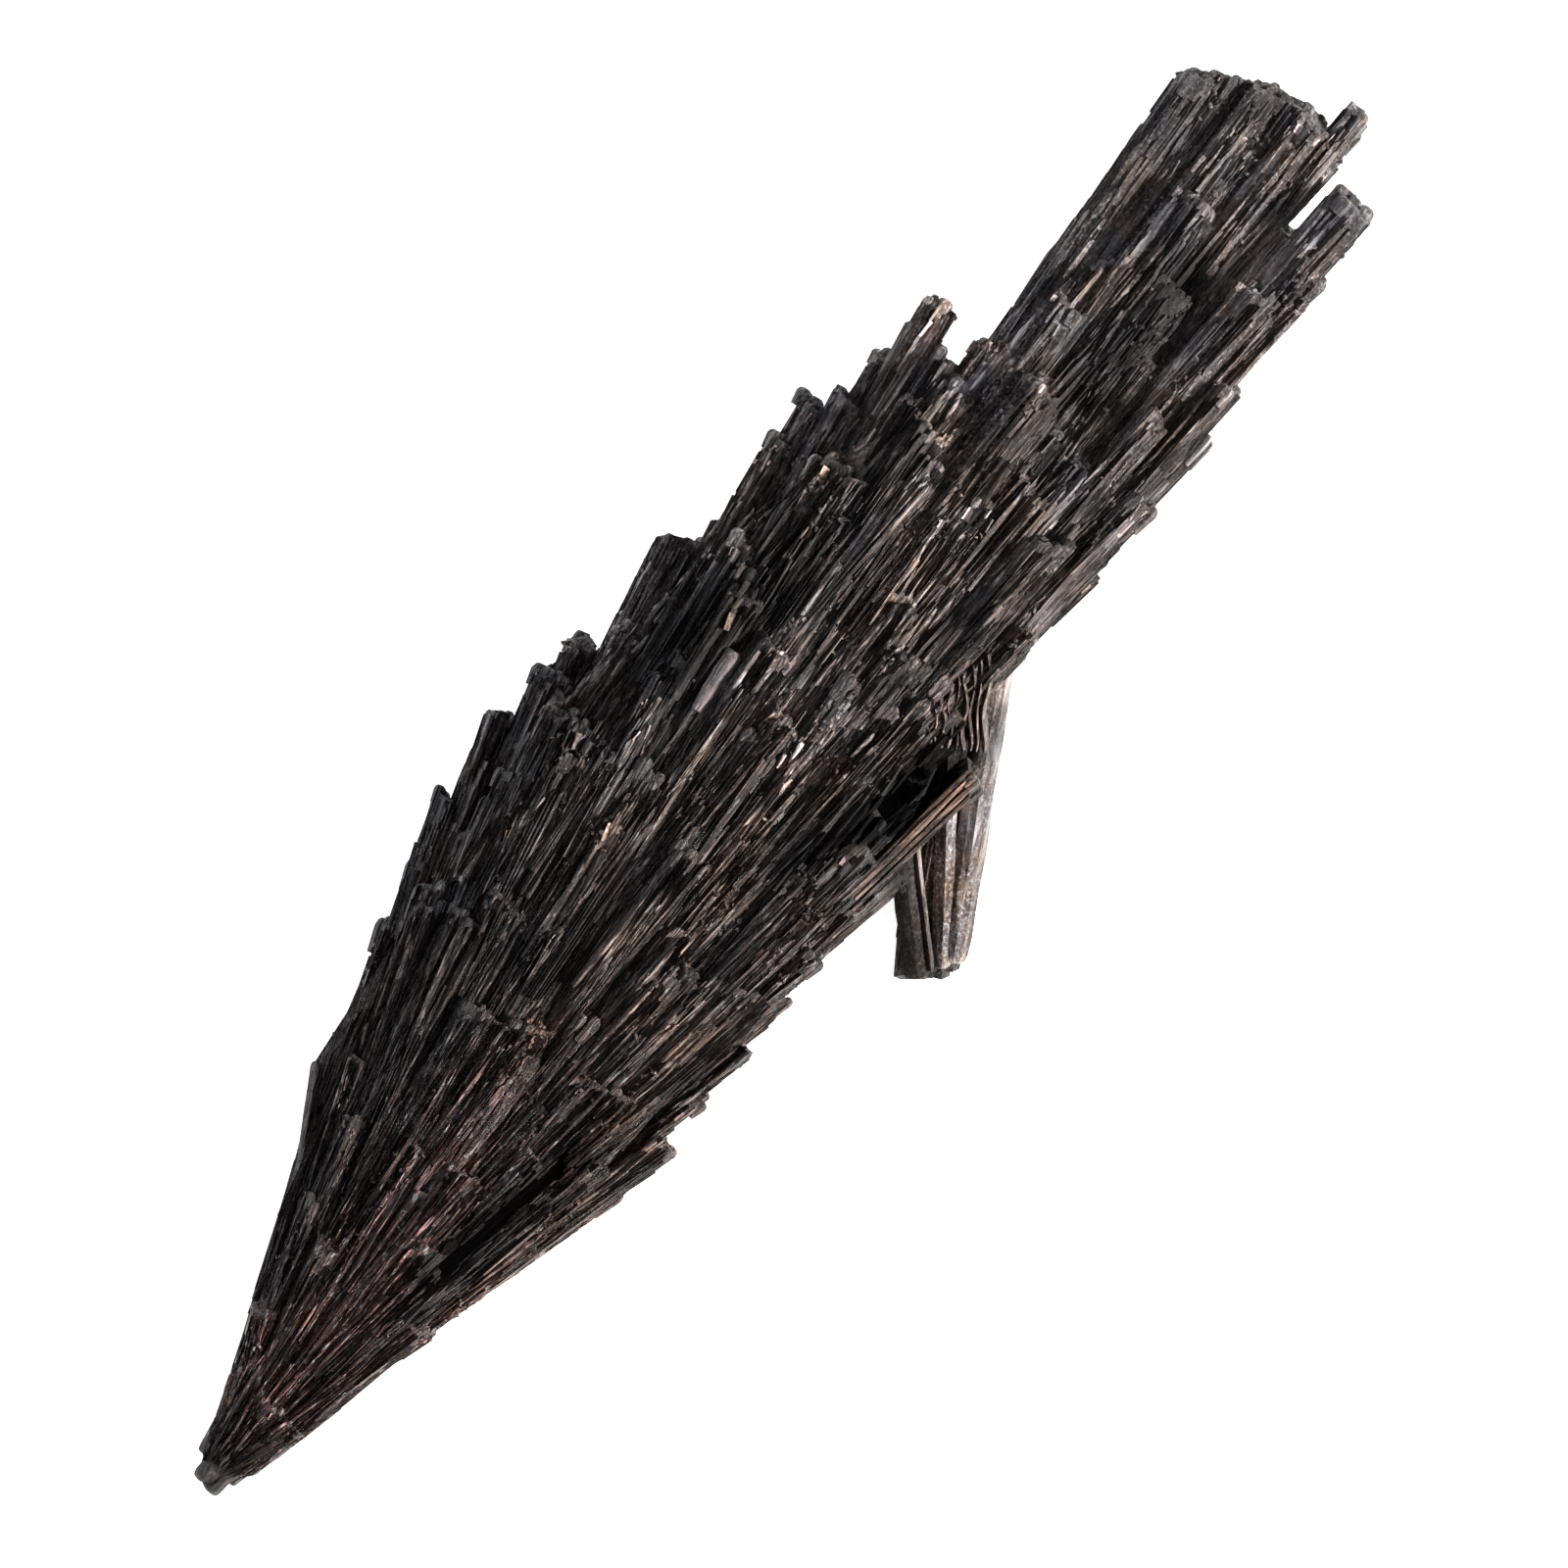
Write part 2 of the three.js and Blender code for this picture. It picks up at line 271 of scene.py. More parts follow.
def crests(tree, lines):
    """How high the stone stands in its long ridges, from 0 in the valleys to 1 on the crests."""
    out, turn, _ = lines
    stretch, scale = LONG_RIDGES
    along = times(tree, out, stretch)
    return mapped(tree, noise(tree, joined(tree, along, turn, 0.0), scale, 2.0), *RIDGE_EDGES)


def slivers(tree, lines, stretch, scale):
    """Crystals side by side: the distance to the nearest groove and each one's own tone."""
    out, turn, up = lines
    inputs = {"Vector": joined(tree, times(tree, out, stretch), turn, up), "Scale": scale}
    grooves = add_node(tree, "ShaderNodeTexVoronoi", inputs, feature="DISTANCE_TO_EDGE")
    crystals = add_node(tree, "ShaderNodeTexVoronoi", inputs, feature="F1")
    own = add_node(tree, "ShaderNodeSeparateColor", {0: crystals.outputs["Color"]}).outputs[0]
    return grooves.outputs["Distance"], own


# Hollows that stay open between the crystals, in the fan's frame in millimetres: the near end, the
# far end, half the width, how much light their painted shade leaves and how soft its edge is, as a
# share of the width.
HOLLOWS = [
    ((47.0, -4.8), (52.3, -5.2), 1.45, 0.08, 0.25),
    ((42.4, -2.9), (46.8, -4.1), 1.0, 0.16, 0.4),
    ((14.5, -1.9), (24.2, -3.6), 0.95, 0.15, 0.4),
]

# Broad darker and lighter bands of the stone, in the same form: light above 1 is a lighter band.
# They are partly the stone's own tone and partly painted shade and painted light, as in shaded
# valleys and on lit and shaded edges.
TONE_AND_PAINTED_LIGHT_BANDS = [
    ((53.0, -0.4), (66.0, -2.1), 1.0, 0.72, 0.6),
    ((71.0, 1.0), (79.0, 1.7), 1.2, 0.25, 0.6),
    ((58.0, 6.2), (64.5, 7.1), 1.0, 0.43, 0.6),
    ((46.5, 8.3), (55.5, 7.6), 1.5, 0.30, 0.6),
    ((40.0, 9.9), (44.5, 9.5), 1.0, 0.40, 0.6),
    ((12.0, 2.6), (32.0, 8.0), 1.4, 0.50, 0.6),
    ((48.0, -5.3), (51.6, -5.9), 0.7, 0.25, 0.6),
    ((38.0, 1.6), (43.0, 2.1), 0.9, 0.60, 0.6),
    ((44.0, -2.0), (47.5, -1.2), 0.7, 1.50, 0.6),
    ((42.5, -4.9), (46.5, -5.4), 1.2, 0.42, 0.6),
    ((31.0, -4.6), (38.5, -5.2), 0.8, 1.45, 0.6),
    ((13.0, -2.6), (17.0, -3.2), 0.8, 0.50, 0.6),
    ((41.8, -11.9), (48.5, -4.4), 1.1, 0.18, 0.3),
    ((45.3, -9.6), (49.5, -6.6), 0.4, 1.40, 0.6),
    ((45.5, -11.5), (52.1, -6.2), 0.4, 1.35, 0.5),
    ((46.4, -6.8), (43.5, -9.7), 0.5, 0.45, 0.5),
    ((47.0, -7.5), (44.2, -9.9), 0.3, 1.30, 0.6),
    ((45.4, -12.4), (55.2, -6.3), 1.0, 0.40, 0.5),
    ((-1.5, 0.0), (0.6, 0.0), 1.6, 0.60, 0.6),
    ((1.5, -1.6), (7.0, -3.0), 0.7, 0.60, 0.6),
    ((1.0, 1.2), (6.0, 2.8), 0.8, 1.50, 0.6),
    ((6.0, 0.8), (16.0, 2.2), 1.2, 1.35, 0.6),
    ((14.0, -5.0), (27.0, -6.8), 0.8, 1.90, 0.6),
    ((12.0, 5.4), (26.0, 10.3), 0.9, 1.50, 0.6),
    ((27.5, 11.3), (33.5, 12.6), 0.9, 0.60, 0.6),
    ((45.0, 12.6), (51.5, 12.4), 1.6, 2.40, 0.6),
    ((60.5, 8.3), (64.5, 8.7), 0.8, 1.60, 0.6),
    ((56.5, 11.5), (69.5, 9.7), 1.1, 2.80, 0.6),
    ((46.5, 4.5), (62.0, 3.9), 1.1, 1.45, 0.6),
    ((44.0, 1.4), (60.0, 2.6), 1.5, 1.35, 0.6),
    ((55.5, -0.9), (60.0, -0.7), 0.9, 2.20, 0.6),
    ((64.0, 4.6), (69.0, 5.6), 1.0, 2.00, 0.6),
    ((67.0, 6.3), (86.0, 6.3), 1.5, 1.50, 0.6),
    ((76.0, 6.2), (81.5, 6.0), 1.2, 1.50, 0.6),
    ((70.0, -0.9), (82.0, -0.5), 1.0, 1.90, 0.6),
    ((82.0, 0.8), (91.0, 1.2), 2.4, 1.20, 0.6),
]
RED_RIDGE = ((5.0, 0.3), (24.0, 1.6))   # the middle of a reddish ridge near the root, where the painted glints are strongest


def from_line(tree, millimetres, start, end):
    """How far a place lies from a line between two places of the fan's frame, seen from above."""
    x, y, _ = split(tree, millimetres)
    origin = ROOT / MM + Vector((*start, 0))
    from_start = vectors(tree, "SUBTRACT", joined(tree, x, y, 0.0), (origin.x, origin.y, 0.0))
    run = Vector((end[0] - start[0], end[1] - start[1], 0))
    share = mapped(tree, dot(tree, from_start, tuple(run / run.length_squared)), 0.0, 1.0)
    return distance(tree, from_start, scaled(tree, tuple(run), share))


def painted_light_and_shade(tree, millimetres, painted_light_marks):
    """The painted shade of the hollows and the tone, painted shade and painted light of the bands at a
    place, 1 elsewhere.
    """
    light = 1.0
    for start, end, half_width, own_light, softness in painted_light_marks:
        aside = from_line(tree, millimetres, start, end)
        inner, outer = half_width * (1 - softness), half_width * (1 + softness)
        light = times(tree, mapped(tree, aside, inner, outer, own_light, 1.0), light)
    return light


ROOT_END = 40.0             # millimetres out from the apex where the coarser stone of the root ends
ROOT_RAGGED = 40.0          # how far the patches of crust move that end towards the root
ROOT_FINENESS = 0.5         # the root's grooves and hairs to the millimetre, as a share of the rest's
GRAIN_SCALE = 5.0           # grains and patches of crust to the millimetre
PATCH_SCALE = 0.16
PATCH_EDGES = (0.48, 0.60)  # the noise where a patch begins and where it is full
RED_EDGES = (0.5, 6.0)      # millimetres from the middle of the red ridge to where it is all gone
PLATE_START = (64.0, 76.0)  # millimetres out to where the long plate at the far end begins
PLATE_SIDE = (-0.2, 1.2)    # millimetres round to the plate, from the crystals on its right
CRUSTED_END = (62.0, 82.0)  # millimetres out to where the stone is crusted all over
SMOOTH_END = (60.0, 82.0)   # millimetres out to where it is less striated, down to this share
END_STRIATION = 0.45
UNDERSIDE = (0.8, 3.4)      # millimetres above the table from the darkest painted shade to full light


def stone_pattern(tree, apex, striation):
    """Where each place of the stone lies, and the grain, crystals, crust and red ridge there."""
    at = SimpleNamespace()
    position = add_node(tree, "ShaderNodeTexCoord").outputs["Object"]
    at.millimetres = vectors(tree, "MULTIPLY", position, (1 / MM, 1 / MM, 1 / MM))
    lines = fan_lines(tree, position, tuple(apex))
    at.out, at.turn, up = lines
    at.grain = noise(tree, at.millimetres, GRAIN_SCALE, 4.0, 0.75)
    patch = noise(tree, at.millimetres, PATCH_SCALE, 3.0)

    past_root = total(tree, (at.out, 1.0), (patch, ROOT_RAGGED))
    past_root = maths(tree, "GREATER_THAN", past_root, ROOT_END)
    fineness = mapped(tree, past_root, 0.0, 1.0, ROOT_FINENESS, 1.0)
    stretch, scale = FINE_CRYSTALS
    scale = times(tree, fineness, scale)
    at.fine_groove, at.fine_tone = slivers(tree, lines, stretch, scale)
    at.wide_groove, at.wide_tone = slivers(tree, lines, *WIDE_CRYSTALS)
    stretch, scale = HAIRS
    scale = times(tree, fineness, scale)
    along = times(tree, at.out, stretch)
    at.hair = noise(tree, joined(tree, along, at.turn, up), scale, 2.0)
    at.crest = crests(tree, lines)
    at.striped = mapped(tree, at.out, *SMOOTH_END, striation, END_STRIATION * striation)

    at.red = mapped(tree, from_line(tree, at.millimetres, *RED_RIDGE), *RED_EDGES, 1.0, 0.0)
    past_side = mapped(tree, at.turn, *PLATE_SIDE)
    at.plate = times(tree, mapped(tree, at.out, *PLATE_START), past_side)
    at.crust = mapped(tree, patch, *PATCH_EDGES)
    for crusted in (
        times(tree, at.red, 0.8),
        mapped(tree, at.out, *CRUSTED_END, 0.0, 0.6),
        times(tree, at.plate, 0.85),
    ):
        at.crust = maths(tree, "MAXIMUM", at.crust, crusted)
    at.low = mapped(tree, split(tree, at.millimetres)[2], *UNDERSIDE, 1.0, 0.0)
    return at


STONE_COLOURS = [       # from the darkest of its crystals to the palest
    (0.28, (0.007, 0.0045, 0.004)),
    (0.55, (0.030, 0.022, 0.019)),
    (0.72, (0.078, 0.066, 0.060)),
    (0.95, (0.225, 0.214, 0.204)),
]
OUTWARD_TINTS = [       # from the root, at 0, to a tenth of a metre out
    (0.08, (1.66, 1.32, 1.20)),
    (0.34, (1.38, 1.25, 1.14)),
    (0.60, (1.58, 1.53, 1.46)),
    (0.95, (1.46, 1.60, 1.67)),
]
FAN_SIDES = (-10.0, 16.0)   # millimetres round, from the right edge to the left one
SIDEWARD_PAINTED_LIGHT = [          # painted light and shade, from the right edge to the left one, cool on the left
    (0.10, (0.80, 0.74, 0.72)),
    (0.40, (1.22, 1.18, 1.17)),
    (0.75, (0.74, 0.76, 0.78)),
]
PATCH_TINTS = [         # of cooler and warmer patches, a few millimetres across
    (0.36, (0.86, 0.90, 1.07)),
    (0.66, (1.17, 1.02, 0.92)),
]
RED_TINT = (1.20, 0.95, 0.97)
TINT_PATCHES = 0.35         # of those patches to the millimetre
CRUST_COLOUR = (0.20, 0.19, 0.185)
SPECK_EDGES = (0.50, 0.66)  # values of the grain where specks of crust begin and are full
SPECK_SHARES = (0.35, 0.85)     # how strong they are, from bare stone to crust
PAINTED_GLINT_COLOUR = (0.55, 0.52, 0.51)
PAINTED_GLINT_PATTERN = (0.45, 3.4)        # another pattern along the stone, of the painted glints
PAINTED_GLINT_EDGES = (0.61, 0.69)
PAINTED_GLINT_SHARES = (0.25, 0.9)  # how strong the painted glints are, from plain stone to the red ridge


def stone_colour(tree, at, tint, tone_share):
    """The stone's colour in full light: its crystals' tones, crust, tints and small painted glints."""
    tone = add_node(tree, "ShaderNodeAttribute", attribute_name="tone").outputs["Fac"]
    shade = total(
        tree, (at.fine_tone, times(tree, at.striped, 0.45)), (at.wide_tone, 0.2),
        (at.hair, times(tree, at.striped, 0.4)), (tone, tone_share),
        (maths(tree, "SUBTRACT", 1.0, at.striped), 0.42),
    )
    specks = mapped(tree, at.grain, *SPECK_EDGES)
    specks = times(tree, specks, mapped(tree, at.crust, 0.0, 1.0, *SPECK_SHARES))
    colour = blend(tree, specks, ramp(tree, shade, STONE_COLOURS), CRUST_COLOUR)
    # Tints: outward from the root, painted light and shade from side to side, cool and warm patches, the
    # red ridge and the finish's own.
    for layer in (
        ramp(tree, maths(tree, "DIVIDE", at.out, 100.0), OUTWARD_TINTS),
        ramp(tree, mapped(tree, at.turn, *FAN_SIDES), SIDEWARD_PAINTED_LIGHT),
        ramp(tree, noise(tree, at.millimetres, TINT_PATCHES, 2.0), PATCH_TINTS),
        blend(tree, at.red, (1.0, 1.0, 1.0), RED_TINT),
        tint,
    ):
        colour = blend(tree, 1.0, colour, layer, "MULTIPLY")
    # Painted glints: pale specks in the colour that stand in for highlights.
    stretch, scale = PAINTED_GLINT_PATTERN
    stretched = vectors(tree, "MULTIPLY", at.millimetres, (stretch, 1.0, 1.0))
    glints = mapped(tree, noise(tree, stretched, scale, 1.0), *PAINTED_GLINT_EDGES)
    glints = times(tree, glints, mapped(tree, at.red, 0.0, 1.0, *PAINTED_GLINT_SHARES))
    return blend(tree, glints, colour, PAINTED_GLINT_COLOUR)


# Painted shade: the colour is darker in the grooves, in the valleys between the ridges and low down.
GROOVE_LIGHT = 0.1          # the painted light at the bottom of a groove between two crystals
FINE_GROOVE, WIDE_GROOVE = 0.18, 0.10   # half the widths of grooves, as shares of the crystals' own
VALLEY_EDGE = 0.5           # a valley is lower than this share of the crests
VALLEY_LIGHT = 0.4
UNDERSIDE_LIGHT = 0.4


def painted_openness(tree, at, light):
    """Painted shade in the colour: less light in grooves, valleys and hollows, and low down."""
    fine = mapped(tree, at.fine_groove, 0.0, FINE_GROOVE, GROOVE_LIGHT, 1.0)
    wide = mapped(tree, at.wide_groove, 0.0, WIDE_GROOVE, GROOVE_LIGHT, 1.0)
    grooves = times(tree, fine, wide)
    result = mapped(tree, grooves, 0.0, 1.0, maths(tree, "SUBTRACT", 1.0, at.striped), 1.0)
    valleys = mapped(tree, at.crest, 0.0, VALLEY_EDGE, VALLEY_LIGHT, 1.0)
    underneath = mapped(tree, at.low, 0.0, 1.0, 1.0, UNDERSIDE_LIGHT)
    for part in (valleys, light, underneath):
        result = times(tree, result, part)
    return result


DULL_HOLLOWS = (0.1, 0.5)   # the painted light of a hollow that has no shine, and of one that has it all
GLOSS_TO_ROUGHNESS = (0.1, 0.7, 0.80, 0.20)
RIDGE_SHARE = 0.3           # of a fine crystal's width, from its groove to its full height
PIT_DEPTHS = (0.8, 1.8)     # of the grain, from bare stone to crust
RELIEF = 0.22 * MM          # how deep the striation and the grain are


def tourmaline(name, apex, tint=(1.0, 1.0, 1.0), striation=1.0, tone_share=0.15,
               painted_light_marks=HOLLOWS + TONE_AND_PAINTED_LIGHT_BANDS, shine=0.36):
    """Near-black striated stone, with its grain along the lines from an apex."""
    material = bpy.data.materials.new(name)
    material.use_nodes = True
    tree = material.node_tree
    shader = tree.nodes["Principled BSDF"]
    at = stone_pattern(tree, apex, striation)
    # The hollows' painted shade, the bands' tone with their painted light and shade, and the painted
    # shade of grooves, valleys and low places darken or lighten the colour.
    light = painted_light_and_shade(tree, at.millimetres, painted_light_marks)
    painted_shade = painted_openness(tree, at, light)
    colour = stone_colour(tree, at, tint, tone_share)
    colour = blend(tree, 1.0, colour, joined(tree, painted_shade, painted_shade, painted_shade), "MULTIPLY")
    tree.links.new(colour, shader.inputs["Base Color"])

    dark = mapped(tree, light, *DULL_HOLLOWS, 1.0, 0.0)
    gloss = total(
        tree, (at.grain, 0.7), (at.fine_tone, 0.3), (at.red, 0.05),
        (at.low, -0.3), (at.plate, -0.25), (dark, -0.3),
    )
    tree.links.new(mapped(tree, gloss, *GLOSS_TO_ROUGHNESS), shader.inputs["Roughness"])
    shader.inputs["Specular IOR Level"].default_value = shine

    fine_ridges = mapped(tree, at.fine_groove, 0.0, RIDGE_SHARE)
    fine_ridges = times(tree, fine_ridges, at.striped)
    fine_steps = times(tree, at.fine_tone, at.striped)
    pits = times(tree, at.grain, mapped(tree, at.crust, 0.0, 1.0, *PIT_DEPTHS))
    height = total(tree, (fine_ridges, 0.40), (fine_steps, 0.45), (at.hair, 0.35), (pits, 0.8))
    bump = add_node(tree, "ShaderNodeBump", {"Strength": 1.0, "Distance": RELIEF, "Height": height})
    tree.links.new(bump.outputs["Normal"], shader.inputs["Normal"])
    return material


stone_finish = tourmaline("tourmaline", APEX)
fan = frame["nodes"]["crystal_fan"]
for slot in fan.material_slots:
    slot.material = stone_finish

# ------------------------------------
# Broken crystals all over the fan. Each is a flat striated blade a millimetre or so wide, which
# lies along the fan's lines, is grown in at its root end and has a ragged, stepped free end.

# Sizes of a blade, as shares of its length, width and thickness.
BLADE_RIBS = (4, 5, 6, 7)   # ridges across one blade
BLADE_RINGS = ((0.0, 0.55), (0.03, 1.0), (0.4, 1.0), (1.0, 1.0))    # (place along it, fullness)
BLADE_ROOT_WIDTH = 0.6      # width at the grown-in end
BLADE_RAGGED = 0.1          # how far its ridges end short of one another
BLADE_TOPS = (0.2, 0.5)     # heights of its ridges above its middle
BLADE_CENTRES = (0.3, 0.7)  # where across it the highest ridge may be
BLADE_SLOPE = 0.5           # how much lower it gets from there to an edge
RIB_SECTION = ((0.15, 0.0), (0.6, 0.04), (0.95, 0.3))   # a ridge: (place across it, drop from its top)

WORKSHOP = bpy.data.collections.new("workshop")  # never shown: the shapes that are repeated


def mesh_of(work, name):
    """The mesh of finished work."""
    mesh = bpy.data.meshes.new(name)
    work.to_mesh(mesh)
    work.free()
    return mesh


def shape_set(name, maker, count, seed):
    """A collection of like shapes, each a little different."""
    collection = bpy.data.collections.new(name)
    WORKSHOP.children.link(collection)
    draw = random.Random(seed)
    for i in range(count):
        work = bmesh.new()
        maker(work, draw)
        bmesh.ops.recalc_face_normals(work, faces=work.faces)
        shape_name = f"{name}_{i:02d}"
        collection.objects.link(bpy.data.objects.new(shape_name, mesh_of(work, shape_name)))
    return collection


def loft(work, rings):
    """Skins closed rings of points and closes both ends."""
    made = [[work.verts.new(point) for point in ring] for ring in rings]
    count = len(made[0])
    for near, far in zip(made, made[1:]):
        for i in range(count):
            j = (i + 1) % count
            work.faces.new((near[i], near[j], far[j], far[i]))
    work.faces.new(made[0][::-1])
    work.faces.new(made[-1])


def blade(work, draw):
    """A striated blade of unit length, width and thickness, with its free end at x = 0."""
    ribs = draw.choice(BLADE_RIBS)
    tops = [draw.uniform(*BLADE_TOPS) for _ in range(ribs)]
    ends = [-draw.uniform(0, BLADE_RAGGED) for _ in range(ribs)]
    centre = draw.uniform(*BLADE_CENTRES)
    rings = []
    for share, fullness in BLADE_RINGS:
        width = (1 - (1 - BLADE_ROOT_WIDTH) * share) * (0.8 + 0.2 * fullness)
        ring = []
        for rib in range(ribs):
            crown = fullness - BLADE_SLOPE * abs((rib + 0.5) / ribs - centre)
            height = tops[rib] * crown * draw.uniform(0.85, 1.1)
            end = ends[rib] * (1 - share) - share
            for place, drop in RIB_SECTION:
                across = ((rib + place) / ribs - 0.5) * width
                ring.append((end, across, height - drop))
        for last, side in ((ends[-1], 0.5), (ends[0], -0.5)):
            ring.append((last * (1 - share) - share, side * width, -0.5))
        rings.append(ring)
    loft(work, rings)


def random_value(tree, low, high, seed):
    """A random number for each point between two values or sockets."""
    node = add_node(tree, "FunctionNodeRandomValue", {2: low, 3: high, "Seed": seed}, data_type="FLOAT")
    return node.outputs[1]


def switch(tree, kind, chosen, if_not, if_so):
    """One of two values."""
    inputs = {"Switch": chosen, "False": if_not, "True": if_so}
    return add_node(tree, "GeometryNodeSwitch", inputs, input_type=kind).outputs[0]


GROWTH_INPUTS = [  # name and kind of each input of the growth tree
    ("Surface", "Geometry"),
    ("Shapes", "Collection"),
    ("Finish", "Material"),
    ("Apex", "Vector"),
    ("Per Square Metre", "Float"),
    ("Shortest", "Float"),
    ("Longest", "Float"),
    ("Narrowest", "Float"),
    ("Widest", "Float"),
    ("Flatness", "Float"),      # thickness as a share of the width
    ("Proud", "Float"),         # how much of the thickness stands out; on ends, how far they jut
    ("Rise", "Float"),          # how far the crests of the long ridges stand out, 0 unless given
    ("Tilt", "Float"),          # how far up a crystal may lean, as a slope
    ("Stray", "Float"),         # how far aside, as a slope
    ("Patchiness", "Float"),    # nothing grows where the noise is lower than this, 0 unless given
    ("On Ends", "Bool"),        # on the broken ends instead of along the sides, off unless given
    ("Seed", "Int"),
]
SIDE = 0.3                  # a face grows along its side while it faces less than this along the lines
END = 0.45                  # a face counts as a broken end from here on
FLOOR_GAP = 0.25 * MM       # nothing starts to grow lower than this
LOWEST = 0.02 * MM          # nothing that has grown reaches lower than this
UNDERSIDE_SHARE = 0.35      # of the growth of the top
CLUSTER_SCALE = 280.0       # of the noise that patchy growth follows, to the metre
LENGTH_SHARE = 0.4          # the longest that a crystal may be, as a share of its distance to the apex
NARROWING = (2 * MM, 40 * MM, 0.4, 1.0)     # from the root to the full width: two places, two shares
THICKNESS_SPREAD = (0.7, 1.3)
SUNK_SIDE, SUNK_TOP = 0.9, 0.5              # how deep crystals sit on side faces and on top
DOWN_TO_SIDE = (-0.3, 0.0)  # how far up a face looks: where an underside becomes a side
SIDE_TO_TOP = (0.3, 0.7)    # and where a side becomes a top
LAST_INDEX = 99             # more than there are shapes: it counts round them


def scatter(tree, given):
    """Points on a surface's sides or ends, thinner underneath, with their way out."""
    position = tree.nodes.new("GeometryNodeInputPosition").outputs[0]
    normal = tree.nodes.new("GeometryNodeInputNormal").outputs[0]
    line = vectors(tree, "NORMALIZE", vectors(tree, "SUBTRACT", position, given["Apex"]))
    facing = dot(tree, line, normal)
    on_side = maths(tree, "LESS_THAN", maths(tree, "ABSOLUTE", facing), SIDE)
    on_end = maths(tree, "GREATER_THAN", facing, END)
    chosen = switch(tree, "FLOAT", given["On Ends"], on_side, on_end)
    off_floor = maths(tree, "GREATER_THAN", split(tree, position)[2], FLOOR_GAP)
    seen_more = mapped(tree, split(tree, normal)[2], *DOWN_TO_SIDE, UNDERSIDE_SHARE, 1.0)
    spread = add_node(tree, "GeometryNodeDistributePointsOnFaces", {
        "Mesh": given["Surface"],
        "Selection": times(tree, chosen, off_floor),
        "Density": times(tree, given["Per Square Metre"], seen_more),
        "Seed": given["Seed"],
    })
    patch = noise(tree, position, CLUSTER_SCALE, 2.0)
    outside_patch = maths(tree, "GREATER_THAN", given["Patchiness"], patch)
    points = add_node(tree, "GeometryNodeDeleteGeometry", {
        "Geometry": spread.outputs["Points"], "Selection": outside_patch,
    }).outputs[0]
    return points, switch(tree, "VECTOR", given["On Ends"], spread.outputs["Normal"], (0.0, 0.0, 1.0))


def rotation_along(tree, given, ahead, out):
    """The rotation of crystals that lie along the lines from the apex and stray from them a little."""
    off_surface = scaled(tree, out, dot(tree, ahead, out))
    flat = vectors(tree, "NORMALIZE", vectors(tree, "SUBTRACT", ahead, off_surface))
    line = switch(tree, "VECTOR", given["On Ends"], flat, ahead)
    aside = random_value(tree, times(tree, given["Stray"], -1.0), given["Stray"], 11)
    upward = random_value(tree, 0.0, given["Tilt"], 12)
    beside = vectors(tree, "CROSS_PRODUCT", out, line)
    bent = vectors(tree, "ADD", scaled(tree, beside, aside), scaled(tree, out, upward))
    along = vectors(tree, "NORMALIZE", vectors(tree, "ADD", line, bent))
    return add_node(
        tree, "FunctionNodeAxesToRotation", {"Primary Axis": along, "Secondary Axis": out},
        primary_axis="X", secondary_axis="Z",
    ).outputs[0]


def size_and_lift(tree, given, here, out):
    """The length, width and thickness of crystals, and how far their middle is out of the surface."""
    reach = distance(tree, here, given["Apex"])
    length = random_value(tree, given["Shortest"], given["Longest"], 21)
    room = times(tree, maths(tree, "SUBTRACT", reach, 1.0 * MM), LENGTH_SHARE)
    length = maths(tree, "MINIMUM", length, room)
    narrowing = mapped(tree, reach, *NARROWING)
    width = random_value(tree, given["Narrowest"], given["Widest"], 22)
    width = times(tree, width, narrowing)
    thickness = times(tree, width, given["Flatness"])
    thickness = times(tree, thickness, random_value(tree, *THICKNESS_SPREAD, 23))
    crest = crests(tree, fan_lines(tree, here, given["Apex"]))
    on_top = mapped(tree, split(tree, out)[2], *SIDE_TO_TOP)
    rise = times(tree, times(tree, times(tree, crest, narrowing), given["Rise"]), on_top)
    size = joined(tree, length, width, maths(tree, "ADD", thickness, rise))
    sunk = mapped(tree, on_top, 0.0, 1.0, SUNK_SIDE, SUNK_TOP)
    standing = maths(tree, "SUBTRACT", given["Proud"], sunk)
    return size, total(tree, (rise, 0.5), (thickness, standing))


def crystals_at(tree, given, points, rotation, size):
    """Crystals of the chosen shapes at points, each with a tone of its own, as plain geometry."""
    shapes = add_node(tree, "GeometryNodeCollectionInfo", {
        "Collection": given["Shapes"], "Separate Children": True, "Reset Children": True,
    }).outputs[0]
    any_shape = {4: 0, 5: LAST_INDEX, "Seed": 31}
    which = add_node(tree, "FunctionNodeRandomValue", any_shape, data_type="INT").outputs[2]
    placed = add_node(tree, "GeometryNodeInstanceOnPoints", {
        "Points": points, "Instance": shapes, "Pick Instance": True, "Instance Index": which,
        "Rotation": rotation, "Scale": size,
    }).outputs[0]
    toned = add_node(tree, "GeometryNodeStoreNamedAttribute", {
        "Geometry": placed, "Name": "tone", "Value": random_value(tree, 0.0, 1.0, 41),
    }, domain="INSTANCE", data_type="FLOAT").outputs[0]
    return add_node(tree, "GeometryNodeRealizeInstances", {"Geometry": toned}).outputs[0]


